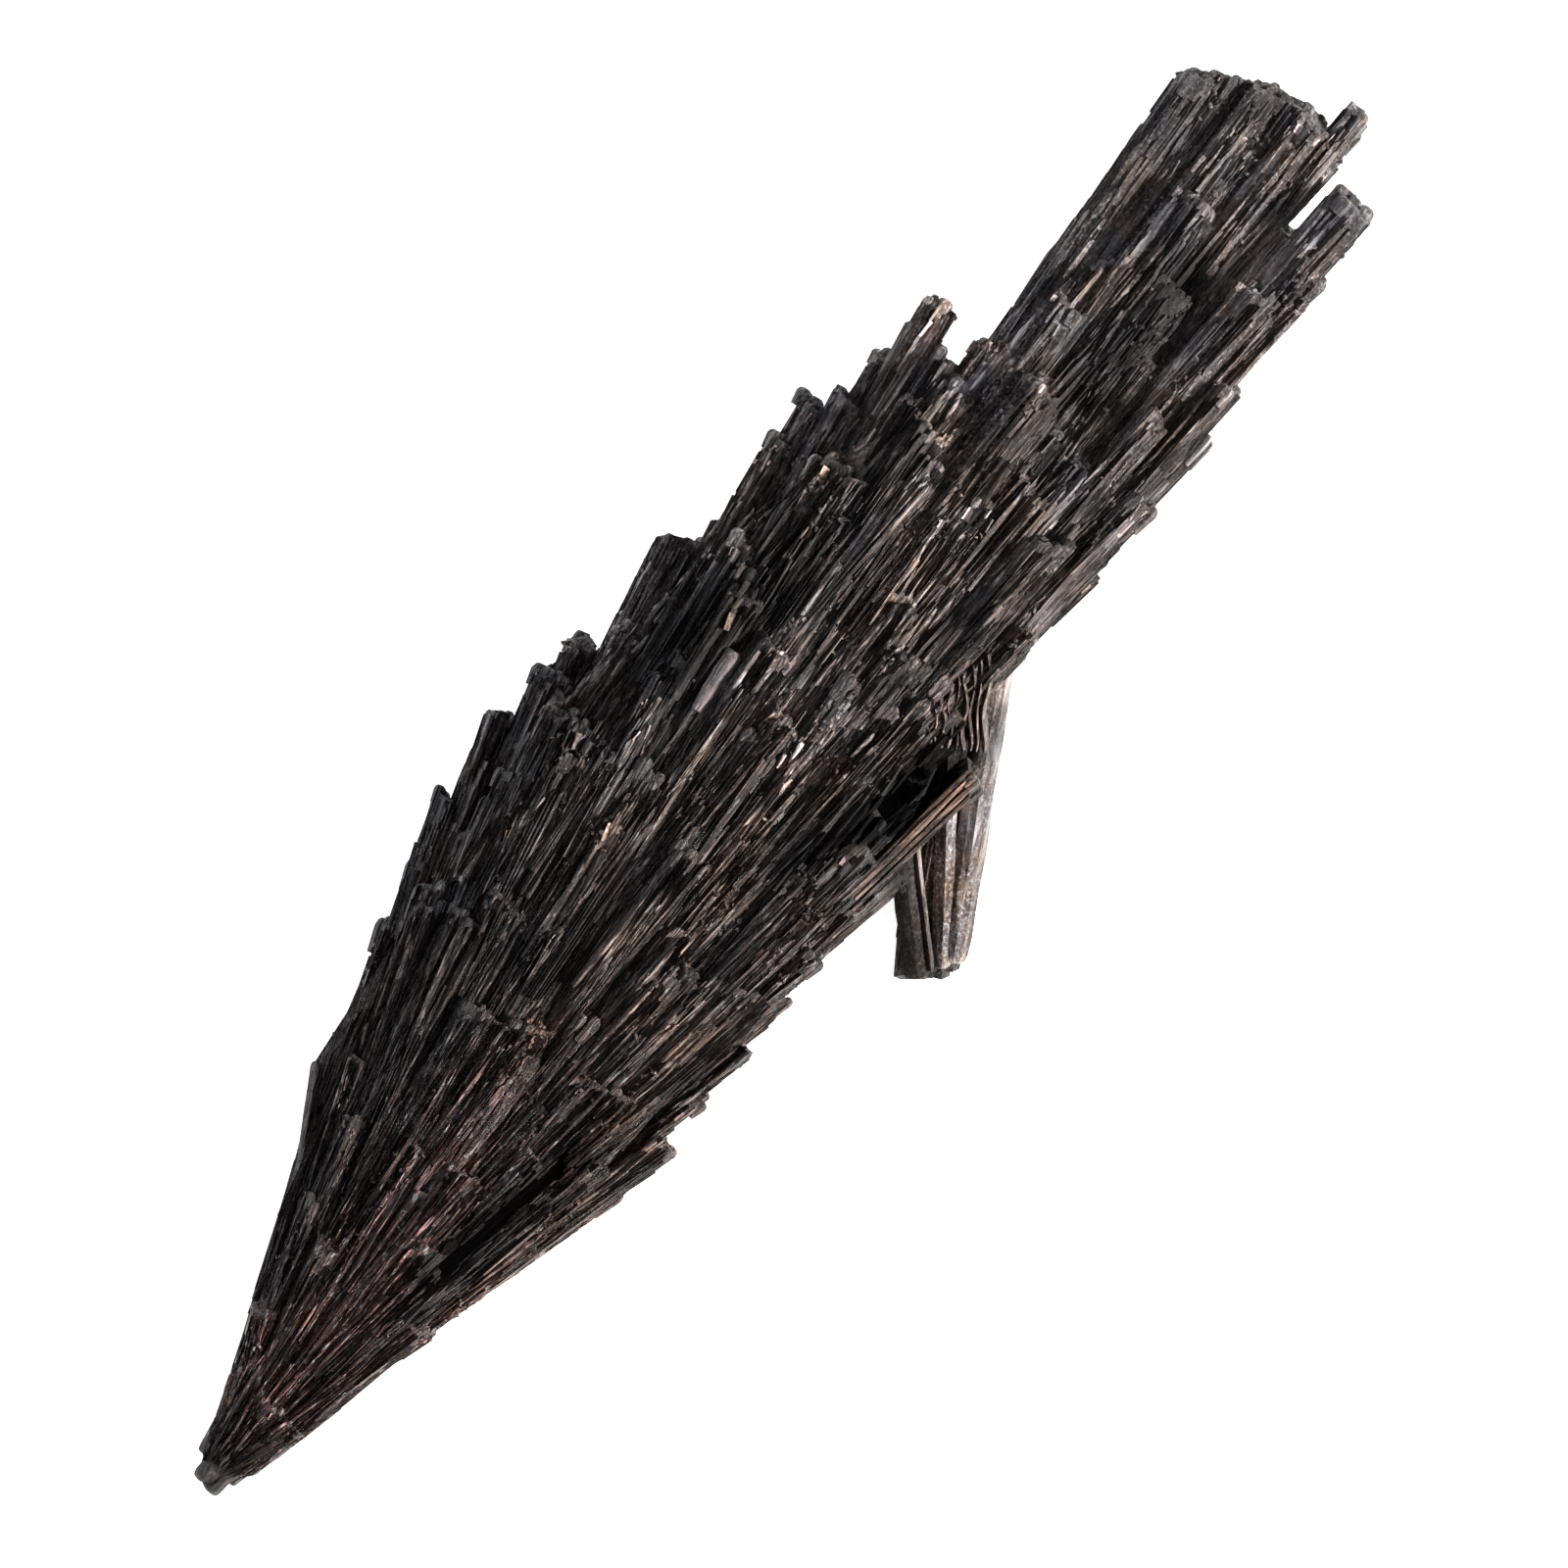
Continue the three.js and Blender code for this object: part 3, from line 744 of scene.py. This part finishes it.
def growth_tree():
    """Geometry nodes that cover a surface with crystals that lie along the lines from an apex."""
    tree = bpy.data.node_groups.new("crystal_growth", "GeometryNodeTree")
    for name, kind in GROWTH_INPUTS:
        tree.interface.new_socket(name, in_out="INPUT", socket_type=f"NodeSocket{kind}")
    tree.interface.new_socket("Crystals", in_out="OUTPUT", socket_type="NodeSocketGeometry")
    given = tree.nodes.new("NodeGroupInput").outputs
    points, out = scatter(tree, given)

    here = tree.nodes.new("GeometryNodeInputPosition").outputs[0]
    ahead = vectors(tree, "NORMALIZE", vectors(tree, "SUBTRACT", here, given["Apex"]))
    rotation = rotation_along(tree, given, ahead, out)
    size, lift = size_and_lift(tree, given, here, out)
    jut = random_value(tree, 0.0, given["Proud"], 24)
    lifted, jutting = scaled(tree, out, lift), scaled(tree, ahead, jut)
    raised = add_node(tree, "GeometryNodeSetPosition", {
        "Geometry": points, "Offset": switch(tree, "VECTOR", given["On Ends"], lifted, jutting),
    }).outputs[0]
    crystals = crystals_at(tree, given, raised, rotation, size)

    x, y, z = split(tree, tree.nodes.new("GeometryNodeInputPosition").outputs[0])
    above_floor = joined(tree, x, y, maths(tree, "MAXIMUM", z, LOWEST))
    raised = add_node(tree, "GeometryNodeSetPosition", {"Geometry": crystals, "Position": above_floor})
    finished = add_node(tree, "GeometryNodeSetMaterial", {
        "Geometry": raised.outputs[0], "Material": given["Finish"],
    }).outputs[0]
    tree.links.new(finished, tree.nodes.new("NodeGroupOutput").inputs[0])
    return tree


GROWTH = growth_tree()

# Where which crystals grow, in millimetres in the fan's frame.
SHORT_GROWTH = 6            # beyond a hollow, only short crystals grow this far
RIM = 3.2                   # the floors and walls of the hollows lie lower than this
OVERHANG = 0.8              # crystals reach over a hollow's near end by this much
OVERHANG_BESIDE = 0.24      # and over its sides by this much
SHOULDER = ((51.2, -5.2), (56.4, -3.5), 1.5)    # where the shoulder's own crystals are placed
BARE_ROOT = 0.6             # nothing grows on the worn root before this
SPRAY_REACH = (40, 60)      # the small spray lies between these places, to the right of its edge
SPRAY_EDGE = (44.2, -7.4, 0.21)     # a place on the edge and the edge's slope
SPRAY_TOP = (43, 0.2, 0.19)         # a place, the height of its top there and the top's slope

LONGEST_EDGE = 2 * MM       # of the triangles that crystals grow on, as far as the halvings go
HALVINGS = 4


def along_hollow(x, y, hollow):
    """How far a place lies beyond the start of a hollow and beyond its end, and whether beside it."""
    (from_x, from_y), (to_x, to_y), half_width, *_ = hollow
    run = math.hypot(to_x - from_x, to_y - from_y)
    ahead = ((x - from_x) * (to_x - from_x) + (y - from_y) * (to_y - from_y)) / run
    aside = ((y - from_y) * (to_x - from_x) - (x - from_x) * (to_y - from_y)) / run
    return ahead - OVERHANG, ahead - run, abs(aside) > half_width - OVERHANG_BESIDE


def region(point):
    """Which growth a place on the stone has: long, short, none, or that of the small spray."""
    x, y, z = [value / MM for value in point - ROOT]
    edge = SPRAY_EDGE[1] + (x - SPRAY_EDGE[0]) * SPRAY_EDGE[2]
    top = SPRAY_TOP[1] + (x - SPRAY_TOP[0]) * SPRAY_TOP[2]
    if SPRAY_REACH[0] < x < SPRAY_REACH[1] and y < edge and z < top:
        return "spray"
    if x < BARE_ROOT:
        return "none"
    ahead, beyond, beside = along_hollow(x, y, SHOULDER)
    if ahead > 0 and beyond < 0 and not beside:
        return "short"
    for hollow in HOLLOWS:
        ahead, beyond, beside = along_hollow(x, y, hollow)
        if ahead > 0 and beyond < SHORT_GROWTH and not beside and z > 0:
            return "none" if beyond < 0 and z < RIM else "short"
    return "long"


def divided_stone():
    """A copy of the stone's mesh with its long triangles divided."""
    work = bmesh.new()
    work.from_mesh(fan.data)
    bmesh.ops.remove_doubles(work, verts=work.verts, dist=1e-6)
    for _ in range(HALVINGS):
        long_edges = [edge for edge in work.edges if edge.calc_length() > LONGEST_EDGE]
        bmesh.ops.subdivide_edges(work, edges=long_edges, cuts=1)
        bmesh.ops.triangulate(work, faces=work.faces)
    work.normal_update()
    return work


def surface_of(name, wanted):
    """The part of the stone's surface in a region, to grow crystals on."""
    work = STONE.copy()
    left_out = [face for face in work.faces if region(face.calc_center_median()) != wanted]
    bmesh.ops.delete(work, geom=left_out, context="FACES")
    return add_object(name, mesh_of(work, name))


def grow(name, surface, **settings):
    """Grows crystals on a surface, as one piece with a plain mesh."""
    modifier = surface.modifiers.new("growth", "NODES")
    modifier.node_group = GROWTH
    inputs = [item for item in GROWTH.interface.items_tree if item.in_out == "INPUT"]
    sockets = {item.name: item.identifier for item in inputs}
    for key, value in settings.items():
        modifier[sockets[key.replace("_", " ").title()]] = value
    depsgraph = bpy.context.evaluated_depsgraph_get()
    mesh = bpy.data.meshes.new_from_object(surface.evaluated_get(depsgraph), depsgraph=depsgraph)
    mesh.name = name
    surface.modifiers.remove(modifier)
    piece = add_object(name, mesh)
    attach(piece, "root")


STONE = divided_stone()
fan_surface = surface_of("fan_surface", "long")
short_surface = surface_of("short_surface", "short")
spray_surface = surface_of("spray_surface", "spray")
blade_shapes = shape_set("blade_shape", blade, count=8, seed=5)

grow(
    "broken_crystals", fan_surface, shapes=blade_shapes, finish=stone_finish, apex=APEX,
    per_square_metre=0.28e6, shortest=3 * MM, longest=13 * MM, narrowest=0.5 * MM, widest=1.4 * MM,
    flatness=0.6, proud=0.36, rise=0.6 * MM, tilt=0.05, stray=0.04, seed=3,
)

# ------------------------------------
# Splinters and needles between and on the broken crystals, from half a millimetre wide down to
# a hair, lying along the same lines.


SPLINTER_RAGGED = 0.04      # how unevenly a splinter breaks, as a share of its length


def splinter(work, draw):
    """A thin ridged sliver of unit length, width and thickness, with its free end at x = 0."""
    crest = draw.uniform(-0.2, 0.2)
    tip = draw.uniform(0.35, 0.9)
    rings = []
    for x, size in ((0.0, tip), (-draw.uniform(0.1, 0.4), 1.0), (-1.0, 0.6)):
        rings.append([
            (x - draw.uniform(0, SPLINTER_RAGGED), -0.5 * size, -0.5),
            (x - draw.uniform(0, SPLINTER_RAGGED), -0.32 * size + crest, 0.35 * size),
            (x - draw.uniform(0, SPLINTER_RAGGED), 0.3 * size + crest, 0.5 * size),
            (x - draw.uniform(0, SPLINTER_RAGGED), 0.5 * size, -0.5),
        ])
    loft(work, rings)


def needle(work, draw):
    """A three-sided sliver of unit length, width and thickness, with its free end at x = 0."""
    crest = draw.uniform(-0.3, 0.3)
    tip = draw.uniform(0.5, 1.0)
    loft(work, [
        [(x, -0.5 * size, -0.5), (x, crest * size, 0.5 * size), (x, 0.5 * size, -0.5)]
        for x, size in ((0.0, tip), (-1.0, 0.7))
    ])


splinter_shapes = shape_set("splinter_shape", splinter, count=10, seed=6)
needle_shapes = shape_set("needle_shape", needle, count=8, seed=8)

grow(
    "splinters", fan_surface, shapes=splinter_shapes, finish=stone_finish, apex=APEX,
    per_square_metre=2.2e6, shortest=1.2 * MM, longest=7 * MM, narrowest=0.16 * MM, widest=0.45 * MM,
    flatness=0.8, proud=0.6, rise=0.6 * MM, tilt=0.02, stray=0.06, seed=4,
)
grow(
    "needles", fan_surface, shapes=needle_shapes, finish=stone_finish, apex=APEX,
    per_square_metre=5e6, shortest=0.8 * MM, longest=5 * MM, narrowest=0.1 * MM, widest=0.24 * MM,
    flatness=1.1, proud=0.9, rise=0.65 * MM, tilt=0.02, stray=0.06, seed=7,
)
# Round the hollows they are short, and so deep between the crystals that they hardly shine.
dull_finish = tourmaline("dull_tourmaline", APEX, shine=0.06)
grow(
    "short_splinters", short_surface, shapes=splinter_shapes, finish=dull_finish, apex=APEX,
    per_square_metre=3e6, shortest=0.8 * MM, longest=2.2 * MM, narrowest=0.2 * MM, widest=0.6 * MM,
    flatness=0.8, proud=0.8, rise=0.4 * MM, tilt=0.03, stray=0.05, seed=10,
)

# ------------------------------------
# Crust: rough grains, a quarter of a millimetre or so across, that sit in patches all over the
# stone where the crystals have broken or weathered, and lighter than the stone under them.


def grain_lump(work, draw):
    """A rough lump of unit size."""
    bmesh.ops.create_icosphere(work, subdivisions=1, radius=0.5)
    for vertex in work.verts:
        vertex.co *= draw.uniform(0.6, 1.2)


grain_shapes = shape_set("grain_shape", grain_lump, count=6, seed=7)
grow(
    "crust", fan_surface, shapes=grain_shapes, finish=stone_finish, apex=APEX,
    per_square_metre=5e6, shortest=0.15 * MM, longest=0.5 * MM, narrowest=0.15 * MM, widest=0.4 * MM,
    flatness=0.8, proud=1.0, rise=0.6 * MM, tilt=0.5, stray=3.0, patchiness=0.56, seed=8,
)

# ------------------------------------
# Painted glints: small grains of the stone coloured pale, as painted highlights where clean faces
# would catch the light, in clusters along the crystals.

painted_glint_finish = tourmaline("glinting_face", APEX, tint=(4.3, 4.2, 4.3), striation=0.3)
grow(
    "glints", fan_surface, shapes=needle_shapes, finish=painted_glint_finish, apex=APEX,
    per_square_metre=1.6e6, shortest=0.2 * MM, longest=1.2 * MM, narrowest=0.12 * MM, widest=0.26 * MM,
    flatness=0.8, proud=1.0, rise=0.65 * MM, tilt=0.1, stray=0.25, patchiness=0.5, seed=15,
)

# ------------------------------------
# Stubs on the broken ends of the crystals: each crystal is a bundle of thinner ones, which break
# off at slightly different lengths and are worn round.


def stub(work, draw):
    """A short six-sided crystal of unit length, width and thickness, worn round at its end."""
    sizes = [draw.uniform(0.8, 1.1) for _ in range(6)]
    rings = []
    for x, fullness in ((0.0, 0.45), (-0.08, 0.8), (-0.25, 1.0), (-1.0, 0.85)):
        rings.append([
            (x, 0.5 * fullness * size * math.cos(corner), 0.5 * fullness * size * math.sin(corner))
            for corner, size in zip([math.radians(60 * i) for i in range(6)], sizes)
        ])
    loft(work, rings)


stub_shapes = shape_set("stub_shape", stub, count=6, seed=9)
grow(
    "stubs_on_broken_ends", fan_surface, shapes=stub_shapes, finish=stone_finish, apex=APEX,
    per_square_metre=3.4e6, shortest=0.8 * MM, longest=2 * MM, narrowest=0.45 * MM, widest=1.1 * MM,
    flatness=0.9, proud=0.35 * MM, tilt=0.0, stray=0.04, seed=6, on_ends=True,
)

# ------------------------------------
# The rail: one straight blade along the right edge, weathered orange-brown, with an open pocket
# between it and the rest of the fan.

RAIL_CRYSTALS = [  # the free end, the grown-in end, width, thickness and tone, in the fan's frame
    ((52.1, -6.50, 4.0), (43.2, -5.75, 3.6), 0.36, 0.6, 0.3),
    ((51.6, -6.80, 4.1), (42.5, -5.95, 3.4), 0.40, 0.7, 0.5),
    ((51.9, -7.10, 3.9), (43.5, -6.25, 3.1), 0.40, 0.7, 0.3),
    ((51.2, -7.35, 3.4), (43.0, -6.5, 2.7), 0.36, 0.8, 0.1),
]


def placed_crystal(work, maker, draw, end, start, width, thickness, tone):
    """A crystal between two places in the fan's frame, with its flat side up and its own tone."""
    own = bmesh.new()
    maker(own, draw)
    layer = own.verts.layers.float.new("tone")
    for vertex in own.verts:
        vertex[layer] = tone
    tip = ROOT + Vector(end) * MM
    along = tip - (ROOT + Vector(start) * MM)
    ahead = along.normalized()
    beside = Vector((0, 0, 1)).cross(ahead).normalized()
    up = ahead.cross(beside)
    turn = Matrix((ahead, beside, up)).transposed().to_4x4()
    size = Matrix.Diagonal((along.length, width * MM, thickness * MM, 1))
    own.transform(Matrix.Translation(tip) @ turn @ size)
    scratch = mesh_of(own, "scratch")
    work.from_mesh(scratch)
    bpy.data.meshes.remove(scratch)


def crystals_piece(name, finish, maker, crystals, seed):
    """A piece made of crystals at chosen places: (end, start, width, thickness, tone) each."""
    draw = random.Random(seed)
    work = bmesh.new()
    work.verts.layers.float.new("tone")
    for crystal in crystals:
        placed_crystal(work, maker, draw, *crystal)
    bmesh.ops.recalc_face_normals(work, faces=work.faces)
    mesh = mesh_of(work, name)
    mesh.materials.append(finish)
    piece = add_object(name, mesh)
    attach(piece, "root")


rail_finish = tourmaline(
    "weathered_rail", APEX, tint=(2.8, 2.2, 1.75), tone_share=0.35, painted_light_marks=(),
)
crystals_piece("rail", rail_finish, splinter, RAIL_CRYSTALS, seed=12)

# ------------------------------------
# The small spray that stands out from under the fan: four broad crystals side by side, smoother
# and greyer than the rest, with thin splinters along them.

SPRAY_CRYSTALS = [  # the free end, the grown-in end, width, thickness and tone, in the fan's frame
    ((44.0, -12.2, -0.9), (59.2, -3.05, 1.9), 1.6, 1.5, 0.5),
    ((43.4, -11.95, -1.0), (53.6, -3.9, 1.3), 1.1, 1.4, 0.2),
    ((42.95, -11.65, -0.65), (49.6, -4.5, 1.15), 0.4, 0.9, 0.5),
    ((42.2, -11.35, -1.0), (49.1, -4.2, 0.8), 1.45, 1.4, 0.0),
]
PRISM_RINGS = (  # (share of the length from the free end, fullness)
    (0.0, 0.5), (0.01, 0.78), (0.03, 0.93), (0.07, 1.0), (0.2, 0.97), (0.35, 1.02), (0.5, 0.95),
    (0.65, 1.0), (0.8, 0.92), (1.0, 0.85),
)
PRISM_CORNERS = (  # (place across, height) of its section
    (-0.5, -0.5), (0.5, -0.5), (0.5, 0.15), (0.28, 0.42), (0.02, 0.5), (-0.22, 0.36), (-0.5, 0.1),
)


def prism(work, draw):
    """A broad smooth crystal of unit length, width and thickness, worn round at x = 0."""
    rings = []
    for share, fullness in PRISM_RINGS:
        sway = draw.uniform(-0.03, 0.03)
        rings.append([
            (-share, (across + sway) * fullness, up * fullness * draw.uniform(0.95, 1.05))
            for across, up in PRISM_CORNERS
        ])
    loft(work, rings)


spray_finish = tourmaline(
    "tourmaline_small_spray", SPRAY_APEX, tint=(4.1, 4.5, 4.6), striation=0.5, tone_share=0.3, shine=0.15,
)
crystals_piece("small_spray_crystals", spray_finish, prism, SPRAY_CRYSTALS, seed=21)
grow(
    "small_spray_splinters", spray_surface, shapes=needle_shapes, finish=spray_finish, apex=SPRAY_APEX,
    per_square_metre=0.8e6, shortest=2 * MM, longest=8 * MM, narrowest=0.12 * MM, widest=0.3 * MM,
    flatness=0.8, proud=0.6, tilt=0.01, stray=0.02, seed=5,
)

# ------------------------------------
# The shoulder: thin wavy crystals, side by side, where the small spray comes out from under the
# fan. They end at the edge of the open pocket.

SHOULDER_COUNT = 9
SHOULDER_ENDS = (Vector((51.7, -4.1, 4.0)), Vector((53.3, -6.3, 2.4)))
SHOULDER_STARTS = (Vector((53.4, -2.5, 4.1)), Vector((57.4, -3.3, 4.1)))
SHOULDER_WIDTHS = (0.36, 0.24, 0.42)
SHOULDER_THICKNESS = 2.0
SHOULDER_TONES = (0.0, 0.5)
WAVE = 0.3                  # how far a wavy crystal sways, as a share of its width
WAVE_TURN = 9               # radians of its wave from end to end
WAVY_RINGS = 12


def wavy_crystal(work, draw):
    """A thin crystal of unit length, width and thickness that sways from side to side."""
    phase = draw.uniform(0, math.tau)
    rings = []
    for i in range(WAVY_RINGS + 1):
        share = i / WAVY_RINGS
        sway = WAVE * math.sin(phase + WAVE_TURN * share)
        fullness = 0.6 if i == 0 else draw.uniform(0.85, 1.1)
        rings.append([
            (-share, across * fullness + sway, up * fullness) for across, up in PRISM_CORNERS
        ])
    loft(work, rings)


shoulder = []
for i in range(SHOULDER_COUNT):
    place = i / (SHOULDER_COUNT - 1)
    shoulder.append((
        SHOULDER_ENDS[0].lerp(SHOULDER_ENDS[1], place),
        SHOULDER_STARTS[0].lerp(SHOULDER_STARTS[1], place),
        SHOULDER_WIDTHS[i % len(SHOULDER_WIDTHS)], SHOULDER_THICKNESS,
        SHOULDER_TONES[i % len(SHOULDER_TONES)],
    ))
shoulder_finish = tourmaline(
    "shoulder_crystal", SPRAY_APEX, tint=(1.75, 1.75, 1.8), striation=0.8, tone_share=0.3, painted_light_marks=(),
)
crystals_piece("shoulder_crystals", shoulder_finish, wavy_crystal, shoulder, seed=31)

# ------------------------------------
# The root: the fan starts as a few crystals, worn round at the tip. Another like them runs along
# the left edge, where the fan begins to widen.

TIP_CRYSTALS = [  # the free end, the grown-in end, width, thickness and tone, in the fan's frame
    ((-1.2, -0.35, -0.1), (4.0, -0.9, 0.3), 1.1, 1.5, 0.5),
    ((-1.05, 0.35, -0.1), (4.0, 0.5, 0.5), 0.9, 1.5, 0.3),
    ((0.1, 1.0, -0.2), (5.0, 1.9, 0.0), 0.8, 1.3, 0.6),
    ((-0.2, -0.95, -0.2), (5.0, -2.0, 0.0), 0.7, 1.2, 0.7),
    ((0.8, -1.4, -0.3), (6.0, -2.6, -0.1), 0.6, 1.1, 0.4),
    ((19.3, 9.42, 1.95), (13.4, 5.75, 1.35), 0.66, 0.75, 0.4),
]

crystals_piece("tip_crystals", stone_finish, prism, TIP_CRYSTALS, seed=41)

# ------------------------------------
# A few pale crystals in the middle of the fan, whose silvery colour is a painted highlight where a
# clean face would catch the light.

PAINTED_HIGHLIGHT_CRYSTALS = [  # the free end, the grown-in end, width, thickness and tone, in the fan's frame
    ((49.0, 6.5, 6.3), (45.5, 6.0, 5.9), 0.9, 0.8, 0.3),
    ((47.6, 0.9, 6.6), (46.5, 0.75, 6.1), 0.26, 0.5, 0.7),
    ((47.2, 1.7, 6.7), (46.0, 1.6, 6.3), 0.22, 0.5, 0.6),
    ((46.6, 1.2, 6.6), (45.9, 1.1, 6.3), 0.2, 0.5, 0.5),
    ((69.4, 3.2, 5.8), (68.2, 3.1, 5.4), 0.24, 0.5, 0.5),
]

painted_highlight_finish = tourmaline("pale_crystal", APEX, tint=(3.6, 3.6, 3.9), striation=0.4, tone_share=0.4)
crystals_piece("pale_crystals", painted_highlight_finish, prism, PAINTED_HIGHLIGHT_CRYSTALS, seed=51)

# The shapes and surfaces that the crystals were made from aren't part of the fan.
STONE.free()
for spare in (fan_surface, short_surface, spray_surface):
    bpy.data.objects.remove(spare)
for collection in list(WORKSHOP.children):
    for shape in list(collection.objects):
        bpy.data.objects.remove(shape)
    bpy.data.collections.remove(collection)
bpy.data.collections.remove(WORKSHOP)
